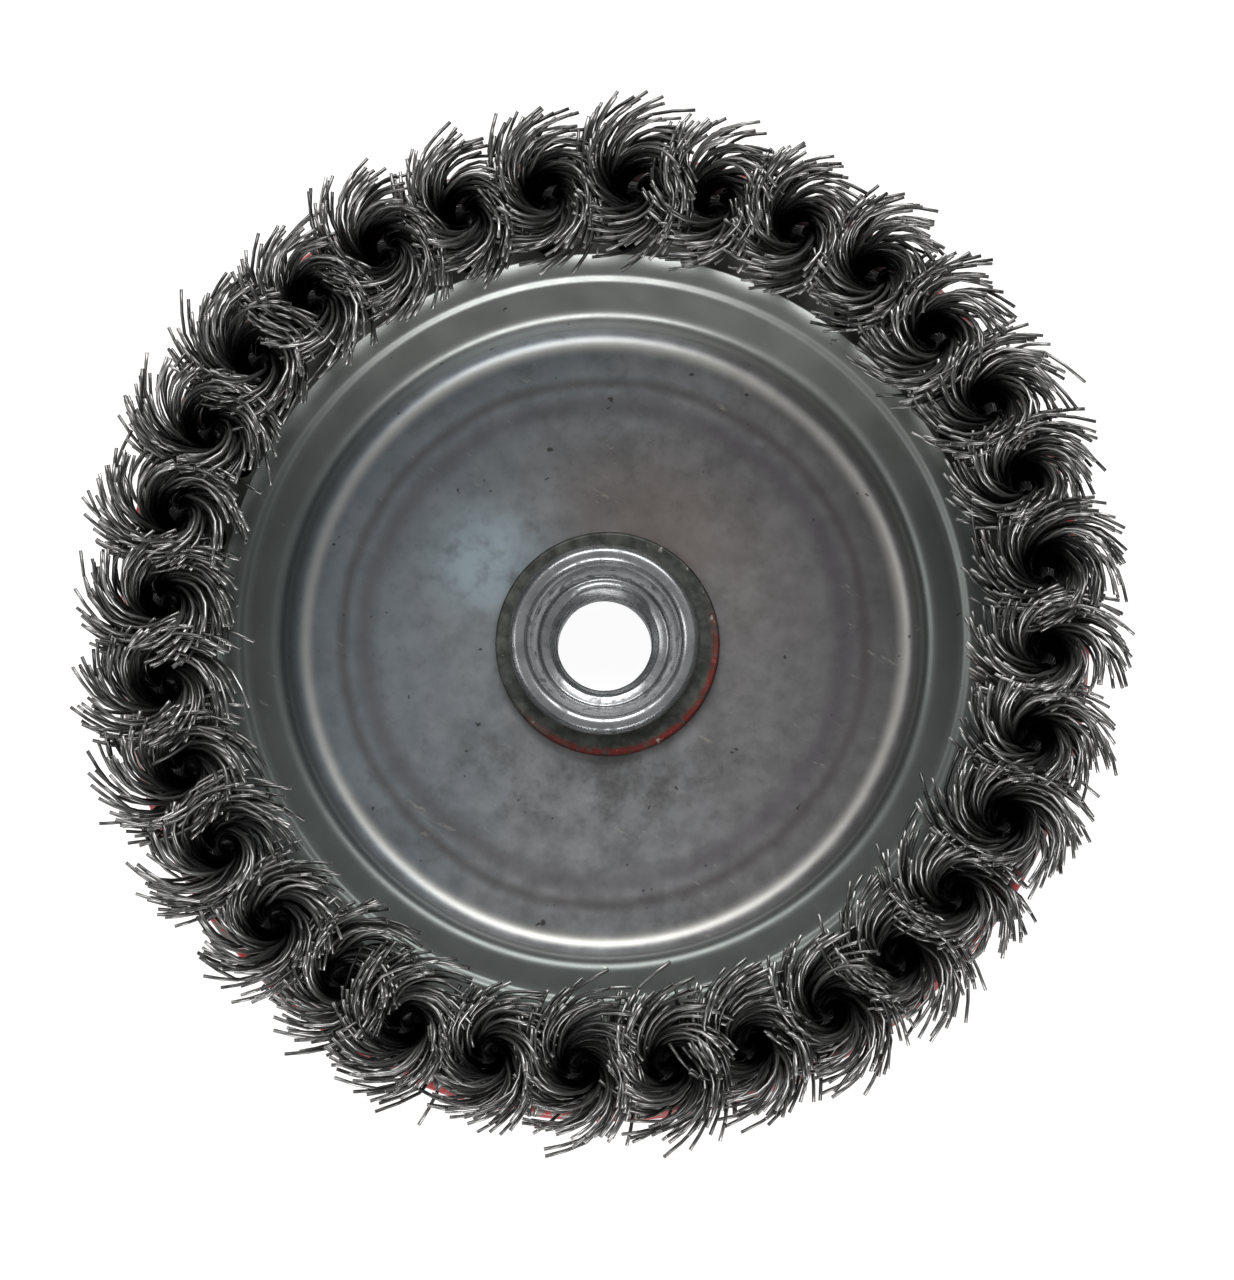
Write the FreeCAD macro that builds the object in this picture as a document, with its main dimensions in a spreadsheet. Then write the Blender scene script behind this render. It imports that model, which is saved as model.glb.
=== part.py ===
import FreeCAD, Part
import math
import os

import Sketcher
from FreeCAD import Vector

# A twisted-knot wire cup brush for an angle grinder, about 125 mm across.  It stands on the seat of
# its hub with the knots up, so +Z runs along the spindle's axis towards the work, and the origin is
# the middle of the hub's seat.  Lengths are in millimetres.

doc = FreeCAD.newDocument("KnotCupBrush")
sheet = doc.addObject("Spreadsheet::Sheet", "Sizes")

SIZES = (
    # hub nut, with a spigot that is swaged over the stack
    ("thread_minor_radius", 5.92),
    ("thread_lead_in", 1.0),
    ("hex_across_flats", 27.0),
    ("hex_height", 8.0),
    ("hex_corner_chamfer", 1.4),
    ("hex_chamfer_angle", 30.0),
    ("throat_step", 1.18),
    ("throat_depth", 5.6),
    ("spigot_wall", 2.5),
    ("lip_wall", 1.1),
    ("lip_overhang", 1.3),
    ("lip_height", 3.0),
    ("lip_round", 1.1),
    ("lip_inner_round", 1.0),
    # hub washer
    ("washer_width", 3.4),
    ("washer_sheet", 1.5),
    ("washer_round", 0.4),
    ("washer_play", 0.5),
    ("washer_play_bearing", -35.0),
    # outer cup
    ("cup_sheet", 2.0),
    ("cup_depth", 18.0),
    ("cup_shoulder_ease", 1.9),
    ("cup_rim_round", 0.8),
    # disc that holds the knots
    ("holder_sheet", 1.5),
    # inner dish, its widths counted inwards from its edge
    ("dish_sheet", 1.2),
    ("dish_flange_width", 3.15),
    ("dish_last_rise", 0.6),
    ("dish_band_width", 3.45),
    ("dish_second_rise", 2.6),
    ("dish_ledge_width", 1.1),
    ("dish_first_rise", 3.2),
    ("dish_round", 0.9),
    ("dish_step_round", 0.36),
    ("pressing_angle", 60.0),
    ("round_share", 0.48),
    # wire knots
    ("knot_count", 32),
    ("knot_ring_radius", 53.0),
    ("knot_length", 30.7),
    ("leg_radius", 1.4),
    ("leg_spread", 2.7),
    ("gather_height", 5.0),
    ("twist_radius", 2.4),
    ("twist_length", 6.7),
    ("trumpet_share", 0.4),
    ("flare_reach", 9.5),
    ("flare_crown", 3.0),
    ("crown_share", 0.68),
    ("mouth_share", 0.62),
    ("mouth_depth", 13.0),
    ("mouth_bottom_radius", 0.7),
    # clearances
    ("spigot_clearance", 0.05),
    ("pressing_clearance", 0.3),
    ("wire_clearance", 0.3),
    ("hole_clearance", 0.35),
    ("dish_edge_clearance", 0.45),
    ("cup_clearance", 0.4),
)

for row, (alias, number) in enumerate(SIZES, 1):
    sheet.set(f"A{row}", alias)
    sheet.set(f"B{row}", str(number))
    sheet.setAlias(f"B{row}", alias)
doc.recompute()

SAME_PLACE = 1e-4

# Expressions in the sheet's names.  Heights go up the stack from the nut's shoulder.
CUP_FLOOR = "(Sizes.hex_height + Sizes.cup_sheet)"
CUP_RIM = "(Sizes.hex_height + Sizes.cup_depth)"
HOLDER_FLOOR = f"({CUP_FLOOR} + Sizes.holder_sheet)"
DISH_FLOOR = f"({HOLDER_FLOOR} + Sizes.dish_sheet)"
WASHER_TOP = f"({DISH_FLOOR} + Sizes.washer_sheet)"
LIP_TOP = f"({WASHER_TOP} + Sizes.lip_height)"
DISH_LEDGE = f"({DISH_FLOOR} + Sizes.dish_first_rise)"
DISH_BAND = f"({DISH_LEDGE} + Sizes.dish_second_rise)"
DISH_EDGE = f"({DISH_BAND} + Sizes.dish_last_rise)"
HOLDER_TOP = f"({DISH_BAND} - Sizes.dish_sheet)"
HOLDER_UNDERSIDE = f"({HOLDER_TOP} - Sizes.holder_sheet)"
TIPS = f"({HOLDER_TOP} + Sizes.knot_length)"

# Radii at the hub go outwards from the thread, so that every piece follows the spigot.
THROAT_RADIUS = "(Sizes.thread_minor_radius + Sizes.thread_lead_in + Sizes.throat_step)"
SPIGOT_RADIUS = f"({THROAT_RADIUS} + Sizes.spigot_wall)"
LIP_RADIUS = f"({SPIGOT_RADIUS} + Sizes.lip_overhang)"
HUB_HOLE = f"({SPIGOT_RADIUS} + Sizes.spigot_clearance)"

# Radii at the rim go both ways from the ring of knots, so that every piece follows the knots' legs.
LEG_REACH = "(Sizes.leg_spread + Sizes.leg_radius)"
CUP_INNER_RADIUS = f"(Sizes.knot_ring_radius + {LEG_REACH} + Sizes.cup_clearance)"
CUP_RADIUS = f"({CUP_INNER_RADIUS} + Sizes.cup_sheet)"
HOLE_RADIUS = "(Sizes.leg_radius + Sizes.hole_clearance)"
HOLDER_RADIUS = ("(Sizes.knot_ring_radius + Sizes.leg_spread - Sizes.leg_radius"
                 " - Sizes.wire_clearance)")
DISH_RADIUS = f"(Sizes.knot_ring_radius - Sizes.leg_spread - {HOLE_RADIUS} - Sizes.dish_edge_clearance)"


def value(expression):
    """The number that an expression in the sheet's names stands for."""
    return float(sheet.evalExpression(expression))


def run(rise):
    """How far out a pressed wall leans while it climbs by a rise."""
    return f"({rise} / tan(Sizes.pressing_angle))"


# The dish's bends, from its edge inwards: each wall has a head and a foot.
LAST_HEAD = f"({DISH_RADIUS} - Sizes.dish_flange_width)"
LAST_FOOT = f"({LAST_HEAD} - {run('Sizes.dish_last_rise')})"
SECOND_HEAD = f"({LAST_FOOT} - Sizes.dish_band_width)"
SECOND_FOOT = f"({SECOND_HEAD} - {run('Sizes.dish_second_rise')})"
FIRST_HEAD = f"({SECOND_FOOT} - Sizes.dish_ledge_width)"
FIRST_FOOT = f"({FIRST_HEAD} - {run('Sizes.dish_first_rise')})"


def lean(thickness):
    """How far out the underside's corners lie from the top's, on a sheet of one thickness."""
    return f"({thickness} * tan(Sizes.pressing_angle / 2))"


def body_named(name):
    """A new body whose label is the name of its node."""
    body = doc.addObject("PartDesign::Body", name)
    body.Label = name
    return body


def datum(body, role):
    """One of the body's own origin planes or axes."""
    return next(item for item in body.Origin.OriginFeatures if item.Role == role)


def new_sketch(body, name, role, height="0"):
    """An empty sketch on one of the body's own origin planes, lifted along its normal."""
    sketch = body.newObject("Sketcher::SketchObject", name)
    sketch.AttachmentSupport = [(datum(body, role), "")]
    sketch.MapMode = "FlatFace"
    sketch.setExpression("AttachmentOffset.Base.z", height)
    return sketch


def pin_point(sketch, element, end, across, along):
    """Ties a point of the sketch to two expressions, measured from the sketch's origin."""
    for kind, expression in (("DistanceX", across), ("DistanceY", along)):
        number = sketch.addConstraint(
            Sketcher.Constraint(kind, -1, 1, element, end, value(expression)))
        sketch.setExpression(f"Constraints[{number}]", expression)


def outline(body, name, corners):
    """A closed outline of straight lines in the XZ plane, its corners given as (radius, height)."""
    sketch = new_sketch(body, name, "XZ_Plane")
    spots = [Vector(value(radius), value(height), 0) for radius, height in corners]
    for index, spot in enumerate(spots):
        sketch.addGeometry(Part.LineSegment(spot, spots[(index + 1) % len(spots)]))
    for index, (radius, height) in enumerate(corners):
        sketch.addConstraint(
            Sketcher.Constraint("Coincident", index, 2, (index + 1) % len(spots), 1))
        pin_point(sketch, index, 1, radius, height)
    return sketch


def turned(body, name, corners, kind="PartDesign::Revolution"):
    """Turns an outline a full circle about the body's Z axis, to add or (as a Groove) to cut."""
    sketch = outline(body, f"{name}_outline", corners)
    feature = body.newObject(kind, name)
    feature.Profile = sketch
    feature.ReferenceAxis = (sketch, ["V_Axis"])
    feature.Angle = 360
    doc.recompute()
    return feature


def circle_sketch(body, name, radius, across, along, height="0"):
    """A circle in a plane level with XY."""
    sketch = new_sketch(body, name, "XY_Plane", height)
    middle = Vector(value(across), value(along), 0)
    sketch.addGeometry(Part.Circle(middle, Vector(0, 0, 1), value(radius)))
    size = sketch.addConstraint(Sketcher.Constraint("Radius", 0, value(radius)))
    sketch.setExpression(f"Constraints[{size}]", radius)
    pin_point(sketch, 0, 3, across, along)
    return sketch


def ellipse_sketch(body, name, half_out, half_across, height):
    """An ellipse about the body's Z axis: the long half-width lies along X, the short one along Y."""
    sketch = new_sketch(body, name, "XY_Plane", height)
    sketch.addGeometry(Part.Ellipse(Vector(0, 0, 0), value(half_out), value(half_across)))
    sketch.exposeInternalGeometry(0)
    long_axis, short_axis = 1, 2
    pin_point(sketch, 0, 3, "0", "0")
    sketch.addConstraint(Sketcher.Constraint("Horizontal", long_axis))
    for axis, half in ((long_axis, half_out), (short_axis, half_across)):
        size = sketch.addConstraint(Sketcher.Constraint("Distance", axis, 2 * value(half)))
        sketch.setExpression(f"Constraints[{size}]", f"2 * {half}")
    return sketch


def round_rings(body, name, feature, places, radius):
    """Fillets the circular edges about the Z axis that lie at the given (radius, height) places."""
    doc.recompute()
    wanted = [(value(out), value(up)) for out, up in places]
    names = []
    for index, edge in enumerate(feature.Shape.Edges, 1):
        if not isinstance(edge.Curve, Part.Circle):
            continue
        found = (edge.Curve.Radius, edge.Curve.Center.z)
        if any(math.dist(found, spot) < SAME_PLACE for spot in wanted):
            names.append(f"Edge{index}")
    if len(names) != len(wanted):
        raise RuntimeError(f"{name}: {len(wanted)} edges wanted, {len(names)} found")
    fillet = body.newObject("PartDesign::Fillet", name)
    fillet.Base = (feature, names)
    fillet.setExpression("Radius", radius)
    doc.recompute()
    return fillet


def build_hub_nut():
    """Hexagon nut whose spigot passes the stack and is swaged into a rounded lip."""
    body = body_named("hub_nut")
    flats = new_sketch(body, "hexagon", "XY_Plane")
    corner = value("Sizes.hex_across_flats") / math.sqrt(3)
    spots = [Vector(corner * math.cos(turn), corner * math.sin(turn), 0)
             for turn in (math.radians(60 * step) for step in range(6))]
    for index, spot in enumerate(spots):
        flats.addGeometry(Part.LineSegment(spot, spots[(index + 1) % 6]))
    for index in range(6):
        flats.addConstraint(Sketcher.Constraint("Coincident", index, 2, (index + 1) % 6, 1))
        turn = 60 * index
        pin_point(flats, index, 1,
                  f"Sizes.hex_across_flats / sqrt(3) * cos({turn})",
                  f"Sizes.hex_across_flats / sqrt(3) * sin({turn})")
    hexagon = body.newObject("PartDesign::Pad", "hexagon_pad")
    hexagon.Profile = flats
    hexagon.setExpression("Length", "Sizes.hex_height")

    corner_radius = "(Sizes.hex_across_flats / sqrt(3))"
    past_corner = f"({corner_radius} + Sizes.hex_corner_chamfer)"
    turned(body, "corner_chamfer", (
        (f"{corner_radius} - Sizes.hex_corner_chamfer", "0"),
        (past_corner, "0"),
        (past_corner, "2 * Sizes.hex_corner_chamfer * tan(Sizes.hex_chamfer_angle)"),
    ), "PartDesign::Groove")
    spigot = turned(body, "spigot", (
        ("0", "Sizes.hex_height"),
        (SPIGOT_RADIUS, "Sizes.hex_height"),
        (SPIGOT_RADIUS, WASHER_TOP),
        (LIP_RADIUS, WASHER_TOP),
        (LIP_RADIUS, LIP_TOP),
        ("0", LIP_TOP),
    ))
    round_rings(body, "lip_rounding", spigot, ((LIP_RADIUS, LIP_TOP),), "Sizes.lip_round")
    throat = f"({LIP_TOP} - Sizes.throat_depth)"
    lip_inner_radius = f"({SPIGOT_RADIUS} - Sizes.lip_wall)"
    bored = turned(body, "bore", (
        ("0", "0"),
        ("Sizes.thread_minor_radius + Sizes.thread_lead_in", "0"),
        ("Sizes.thread_minor_radius", "Sizes.thread_lead_in"),
        ("Sizes.thread_minor_radius", f"{throat} - Sizes.thread_lead_in"),
        ("Sizes.thread_minor_radius + Sizes.thread_lead_in", throat),
        (THROAT_RADIUS, throat),
        (lip_inner_radius, LIP_TOP),
        ("0", LIP_TOP),
    ), "PartDesign::Groove")
    round_rings(body, "lip_inner_rounding", bored, ((lip_inner_radius, LIP_TOP),),
                "Sizes.lip_inner_round")
    return body


def build_hub_washer():
    """Flat washer on which the swaged lip bears, a loose fit that lies pushed to one side."""
    body = body_named("hub_washer")
    loose_hole = f"({HUB_HOLE} + Sizes.washer_play)"
    washer_radius = f"({SPIGOT_RADIUS} + Sizes.washer_width)"
    disc = turned(body, "disc", (
        (loose_hole, DISH_FLOOR),
        (washer_radius, DISH_FLOOR),
        (washer_radius, WASHER_TOP),
        (loose_hole, WASHER_TOP),
    ))
    round_rings(body, "edge_rounding", disc, ((washer_radius, WASHER_TOP),),
                "Sizes.washer_round")
    body.setExpression("Placement.Base.x", "Sizes.washer_play * cos(Sizes.washer_play_bearing)")
    body.setExpression("Placement.Base.y", "Sizes.washer_play * sin(Sizes.washer_play_bearing)")
    return body


def build_outer_cup():
    """Pressed steel shell, flat at the hub, with a round shoulder and an upright skirt."""
    body = body_named("outer_cup")
    inside_round = f"({LEG_REACH} + Sizes.cup_shoulder_ease)"
    shell = turned(body, "shell", (
        (HUB_HOLE, "Sizes.hex_height"),
        (CUP_RADIUS, "Sizes.hex_height"),
        (CUP_RADIUS, CUP_RIM),
        (CUP_INNER_RADIUS, CUP_RIM),
        (CUP_INNER_RADIUS, CUP_FLOOR),
        (HUB_HOLE, CUP_FLOOR),
    ))
    outside = round_rings(body, "shoulder_outside", shell, ((CUP_RADIUS, "Sizes.hex_height"),),
                          f"{inside_round} + Sizes.cup_sheet")
    inside = round_rings(body, "shoulder_inside", outside, ((CUP_INNER_RADIUS, CUP_FLOOR),),
                         inside_round)
    round_rings(body, "rim_rounding", inside, (
        (CUP_RADIUS, CUP_RIM),
        (CUP_INNER_RADIUS, CUP_RIM),
    ), "Sizes.cup_rim_round")
    return body


def build_knot_holder():
    """Pressed disc under the dish, with one hole for each knot near its edge."""
    body = body_named("knot_holder")
    ledge_end = f"({SECOND_FOOT} + {lean('Sizes.dish_sheet')} + Sizes.pressing_clearance)"
    wall_foot = f"({ledge_end} - {run('Sizes.dish_first_rise')})"
    wall_head = f"({ledge_end} + {run('Sizes.dish_second_rise')})"
    turned(body, "disc", (
        (HUB_HOLE, CUP_FLOOR),
        (f"{wall_foot} + {lean('Sizes.holder_sheet')}", CUP_FLOOR),
        (f"{wall_head} + {lean('Sizes.holder_sheet')}", HOLDER_UNDERSIDE),
        (HOLDER_RADIUS, HOLDER_UNDERSIDE),
        (HOLDER_RADIUS, HOLDER_TOP),
        (wall_head, HOLDER_TOP),
        (wall_foot, HOLDER_FLOOR),
        (HUB_HOLE, HOLDER_FLOOR),
    ))
    hole = circle_sketch(body, "hole", HOLE_RADIUS,
                         "Sizes.knot_ring_radius - Sizes.leg_spread", "0", HOLDER_TOP)
    pocket = body.newObject("PartDesign::Pocket", "knot_hole")
    pocket.Profile = hole
    pocket.setExpression("Length", "Sizes.holder_sheet")
    before = body.Shape.Volume
    doc.recompute()
    if pocket.Shape.Volume >= before:
        raise RuntimeError("the knot hole cuts nothing")
    holes = body.newObject("PartDesign::PolarPattern", "knot_holes")
    holes.Originals = [pocket]
    holes.Axis = (datum(body, "Z_Axis"), [""])
    holes.Angle = 360
    holes.setExpression("Occurrences", "Sizes.knot_count")
    body.Tip = holes
    return body


def build_inner_dish():
    """Pressed dish that covers the holder: a flat floor, two rises, a level band and a last step."""
    body = body_named("inner_dish")
    bends = (
        (FIRST_FOOT, DISH_FLOOR),
        (FIRST_HEAD, DISH_LEDGE),
        (SECOND_FOOT, DISH_LEDGE),
        (SECOND_HEAD, DISH_BAND),
        (LAST_FOOT, DISH_BAND),
        (LAST_HEAD, DISH_EDGE),
    )
    top = [(HUB_HOLE, DISH_FLOOR), *bends, (DISH_RADIUS, DISH_EDGE)]
    underside = [(DISH_RADIUS, f"{DISH_EDGE} - Sizes.dish_sheet")]
    for radius, height in reversed(bends):
        underside.append((f"({radius} + {lean('Sizes.dish_sheet')})", f"({height} - Sizes.dish_sheet)"))
    underside.append((HUB_HOLE, HOLDER_FLOOR))
    pressing = turned(body, "pressing", top + underside)
    widest_round = "(Sizes.round_share * Sizes.dish_ledge_width / tan(Sizes.pressing_angle / 2))"
    walls = round_rings(body, "wall_rounding", pressing, bends[:4],
                        f"min(Sizes.dish_round; {widest_round})")
    round_rings(body, "step_rounding", walls, bends[4:], "Sizes.dish_step_round")
    return body


def build_knot(number):
    """One bundle of wires: folded through its hole and over the holder's edge, twisted, then flared."""
    body = body_named(f"knot_{number:02d}")
    fold_height = f"({HOLDER_UNDERSIDE} - Sizes.wire_clearance)"
    for side, across in (("outer", "Sizes.leg_spread"), ("inner", "-Sizes.leg_spread")):
        leg = body.newObject("PartDesign::Pad", f"{side}_leg")
        leg.Profile = circle_sketch(body, f"{side}_leg_section", "Sizes.leg_radius", across, "0",
                                    fold_height)
        leg.setExpression("Length", "Sizes.holder_sheet + Sizes.wire_clearance + Sizes.leg_radius")
    fold = body.newObject("PartDesign::AdditivePipe", "fold")
    path = new_sketch(body, "fold_path", "XZ_Plane")
    middle = Vector(0, value(fold_height), 0)
    half_turn = Part.ArcOfCircle(
        Part.Circle(middle, Vector(0, 0, 1), value("Sizes.leg_spread")), math.pi, 2 * math.pi)
    path.addGeometry(half_turn)
    pin_point(path, 0, 3, "0", fold_height)
    pin_point(path, 0, 1, "-Sizes.leg_spread", fold_height)
    path.addConstraint(Sketcher.Constraint("Horizontal", 0, 1, 0, 2))
    fold.Spine = (path, ["Edge1"])
    fold.Profile = circle_sketch(body, "fold_section", "Sizes.leg_radius", "-Sizes.leg_spread", "0",
                                 fold_height)

    pitch = "(180 / Sizes.knot_count)"
    flare_across = (f"(sqrt((Sizes.knot_ring_radius * sin{pitch} - Sizes.wire_clearance) ^ 2"
                    f" - (Sizes.flare_reach * sin{pitch}) ^ 2) / cos{pitch})")
    twist_start = f"({HOLDER_TOP} + Sizes.gather_height)"
    twist_end = f"({twist_start} + Sizes.twist_length)"
    edge_height = f"({TIPS} - Sizes.flare_crown)"
    middle_height = f"(({twist_end} + {edge_height}) / 2)"

    def partway(half):
        return f"(Sizes.twist_radius + Sizes.trumpet_share * ({half} - Sizes.twist_radius))"

    foot = ellipse_sketch(body, "foot", LEG_REACH, "Sizes.leg_radius", HOLDER_TOP)
    rising = (
        circle_sketch(body, "twist_start", "Sizes.twist_radius", "0", "0", twist_start),
        circle_sketch(body, "twist_end", "Sizes.twist_radius", "0", "0", twist_end),
        ellipse_sketch(body, "trumpet", partway("Sizes.flare_reach"), partway(flare_across),
                       middle_height),
        ellipse_sketch(body, "flare", "Sizes.flare_reach", flare_across, edge_height),
        ellipse_sketch(body, "crown", "(Sizes.flare_reach * Sizes.crown_share)",
                       f"({flare_across} * Sizes.crown_share)", TIPS),
    )
    bundle = body.newObject("PartDesign::AdditiveLoft", "bundle")
    bundle.Profile = foot
    bundle.Sections = list(rising)
    bundle.Ruled = True
    doc.recompute()
    mouth_bottom = f"({TIPS} - Sizes.mouth_depth)"
    turned(body, "mouth", (
        ("0", TIPS),
        (f"({flare_across} * Sizes.mouth_share)", TIPS),
        ("Sizes.mouth_bottom_radius", mouth_bottom),
        ("0", mouth_bottom),
    ), "PartDesign::Groove")

    turn = f"({number - 1} * 360 / Sizes.knot_count)"
    body.setExpression("Placement.Base.x", f"Sizes.knot_ring_radius * cos{turn}")
    body.setExpression("Placement.Base.y", f"Sizes.knot_ring_radius * sin{turn}")
    body.setExpression("Placement.Rotation.Angle", turn)
    return body


pieces = [
    build_hub_nut(),
    build_hub_washer(),
    build_outer_cup(),
    build_knot_holder(),
    build_inner_dish(),
]
for number in range(1, int(value("Sizes.knot_count")) + 1):
    pieces.append(build_knot(number))
doc.recompute()

for item in doc.Objects:
    if "Invalid" in item.State or "Error" in item.State:
        raise RuntimeError(f"{item.Label} did not compute: {item.State}")
for piece in pieces:
    if piece.Shape.isNull() or not piece.Shape.isValid() or len(piece.Shape.Solids) != 1:
        raise RuntimeError(f"{piece.Label} is not one sound solid")

os.makedirs("parts", exist_ok=True)
for piece in pieces:
    piece.Shape.exportStep(f"parts/{piece.Label}.step")
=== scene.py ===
import math

import bpy
import numpy as np
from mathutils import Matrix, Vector


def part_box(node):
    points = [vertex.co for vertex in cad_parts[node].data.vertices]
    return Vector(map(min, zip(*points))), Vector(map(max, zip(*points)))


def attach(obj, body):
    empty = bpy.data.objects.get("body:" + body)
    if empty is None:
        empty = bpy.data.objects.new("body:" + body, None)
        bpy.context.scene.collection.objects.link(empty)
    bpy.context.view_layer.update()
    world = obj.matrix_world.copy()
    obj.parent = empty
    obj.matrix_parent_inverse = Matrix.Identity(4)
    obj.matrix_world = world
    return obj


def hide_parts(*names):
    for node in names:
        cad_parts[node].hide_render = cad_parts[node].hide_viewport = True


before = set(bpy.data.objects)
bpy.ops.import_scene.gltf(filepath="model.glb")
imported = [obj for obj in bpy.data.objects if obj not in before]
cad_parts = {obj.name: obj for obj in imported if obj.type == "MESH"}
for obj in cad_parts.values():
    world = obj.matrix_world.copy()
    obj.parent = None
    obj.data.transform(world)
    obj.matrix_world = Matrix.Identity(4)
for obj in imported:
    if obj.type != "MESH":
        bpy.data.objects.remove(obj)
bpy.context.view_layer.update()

MM = 0.001


# --- Bench, camera and lamps -----------------------------------------------------------------
# The brush stands on its hub on a white bench.  The camera looks down into the cup, a few degrees
# off the spindle's axis.  A large soft lamp stands beyond the far edge of the brush, with a weaker
# one to the left and one on the near side.

class Value:
    """An output of a node.  Arithmetic on it adds Math nodes to the same finish."""

    def __init__(self, finish, socket):
        self.finish = finish
        self.socket = socket

    def math(self, operation, *inputs):
        return self.finish.node("Math", {"operation": operation}, dict(enumerate(inputs)))

    def root(self):
        return self.math("SQRT", self)

    def unsigned(self):
        return self.math("ABSOLUTE", self)

    def at_least(self, other):
        return self.math("MAXIMUM", self, other)

    def __add__(self, other):
        return self.math("ADD", self, other)

    def __sub__(self, other):
        return self.math("SUBTRACT", self, other)

    def __mul__(self, other):
        return self.math("MULTIPLY", self, other)

    def __truediv__(self, other):
        return self.math("DIVIDE", self, other)

    def __rsub__(self, other):
        return self.math("SUBTRACT", other, self)

    __radd__ = __add__
    __rmul__ = __mul__

    def within(self, low, high):
        """0 at low, 1 at high, and smooth between; it falls where high is the smaller."""
        return self.finish.node("MapRange", {"interpolation_type": "SMOOTHSTEP"},
                                {"Value": self, "From Min": low, "From Max": high})


class Finish:
    """A surface finish under construction: a material and its nodes."""

    def __init__(self, name, material=None):
        self.material = material or bpy.data.materials.new(name)
        self.material.use_nodes = True
        self.tree = self.material.node_tree
        self.tree.nodes.clear()

    def node(self, kind, settings=None, inputs=None, output=0):
        """Adds a node: its settings first, then its sockets' values or links, and gives one output."""
        made = self.tree.nodes.new(f"ShaderNode{kind}")
        for name, setting in (settings or {}).items():
            setattr(made, name, setting)
        for name, given in (inputs or {}).items():
            if isinstance(given, Value):
                self.tree.links.new(given.socket, made.inputs[name])
            else:
                made.inputs[name].default_value = given
        return Value(self, made.outputs[output])

    def blend(self, share, first, second):
        """The first colour at share 0, the second at share 1."""
        both = [given if isinstance(given, Value) else (*given, 1) for given in (first, second)]
        return self.node("Mix", {"data_type": "RGBA"}, {0: share, 6: both[0], 7: both[1]}, 2)

    def noise(self, place, scale, detail=4.0, roughness=0.5):
        return self.node("TexNoise", {}, {"Vector": place, "Scale": scale, "Detail": detail,
                                          "Roughness": roughness})

    def end(self, shader):
        out = self.tree.nodes.new("ShaderNodeOutputMaterial" if self.material.bl_rna.name == "Material"
                                  else "ShaderNodeOutputWorld")
        self.tree.links.new(shader.socket, out.inputs["Surface"])
        return self.material


def seen_directly(finish):
    """1 for what the camera sees, straight or in a polished surface, and 0 for light."""
    camera, glossy, clear = [finish.node("LightPath", output=f"Is {kind} Ray")
                             for kind in ("Camera", "Glossy", "Transmission")]
    return camera.at_least(glossy.at_least(clear))


BENCH_GLOW = 0.92
BENCH_SHEEN = 0.30
BENCH_GREY = 0.80
BENCH_HALF = 1.5
bench_mesh = bpy.data.meshes.new("bench")
bench_mesh.from_pydata([(x * BENCH_HALF, y * BENCH_HALF, -0.05 * MM)
                        for x, y in ((-1, -1), (1, -1), (1, 1), (-1, 1))], [], [(0, 1, 2, 3)])
bench = bpy.data.objects.new("bench", bench_mesh)
bpy.context.scene.collection.objects.link(bench)
paper = Finish("white_paper")
plain = paper.node("BsdfDiffuse", {}, {"Color": (BENCH_GREY,) * 3 + (1,)})
thin = paper.node("BsdfDiffuse", {}, {"Color": (BENCH_SHEEN,) * 3 + (1,)})
glow = paper.node("Emission", {}, {"Strength": BENCH_GLOW})
white = paper.node("AddShader", {}, {0: glow, 1: thin})
bench_mesh.materials.append(paper.end(
    paper.node("MixShader", {}, {0: seen_directly(paper), 1: plain, 2: white})))

ROOM_LIGHT = 0.36
world = bpy.data.worlds.new("room")
bpy.context.scene.world = world
room = Finish("room", world)
dim = room.node("Background", {}, {"Color": (0.98, 0.99, 1.0, 1), "Strength": ROOM_LIGHT})
bright = room.node("Background", {}, {"Strength": 1.0})
direct = room.node("LightPath", output="Is Camera Ray")
room.end(room.node("MixShader", {}, {0: direct, 1: dim, 2: bright}))


def soft_lamp(name, place, width, height, power):
    """A rectangular lamp that faces the brush."""
    data = bpy.data.lights.new(name, "AREA")
    data.shape = "RECTANGLE"
    data.size = width
    data.size_y = height
    data.energy = power
    lamp = bpy.data.objects.new(name, data)
    lamp.location = place
    lamp.rotation_euler = Vector(place).to_track_quat("Z", "Y").to_euler()
    bpy.context.scene.collection.objects.link(lamp)


soft_lamp("far_softbox", (0.0, 0.46, 0.42), 0.60, 0.30, 4.0)
soft_lamp("left_softbox", (-0.50, -0.05, 0.35), 0.25, 0.40, 0.9)
soft_lamp("near_softbox", (0.10, -0.46, 0.34), 0.40, 0.20, 2.2)

CAMERA_REACH = 0.60
CAMERA_TILT = math.radians(4.4)
CAMERA_SIDE = math.radians(0.25)
aim = Vector((1.7 * MM, -2.4 * MM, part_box("knot_01")[1].z))
back = Vector((math.sin(CAMERA_SIDE), -math.sin(CAMERA_TILT), math.cos(CAMERA_TILT))).normalized()
lens = bpy.data.cameras.new("camera")
lens.sensor_width = 36
lens.lens = 143
lens.clip_start = 0.01
camera = bpy.data.objects.new("camera", lens)
camera.location = aim + back * CAMERA_REACH
camera.rotation_euler = back.to_track_quat("Z", "Y").to_euler()
bpy.context.scene.collection.objects.link(camera)
bpy.context.scene.camera = camera
bpy.context.scene.view_settings.view_transform = "Standard"


# --- Hub nut ----------------------------------------------------------------------------------
# Turned steel hexagon, zinc plated, tapped M14 x 2.  Its hollow spigot passes the washer, dish,
# holder and cup, and is swaged outwards into the round lip that clamps them all.

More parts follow.
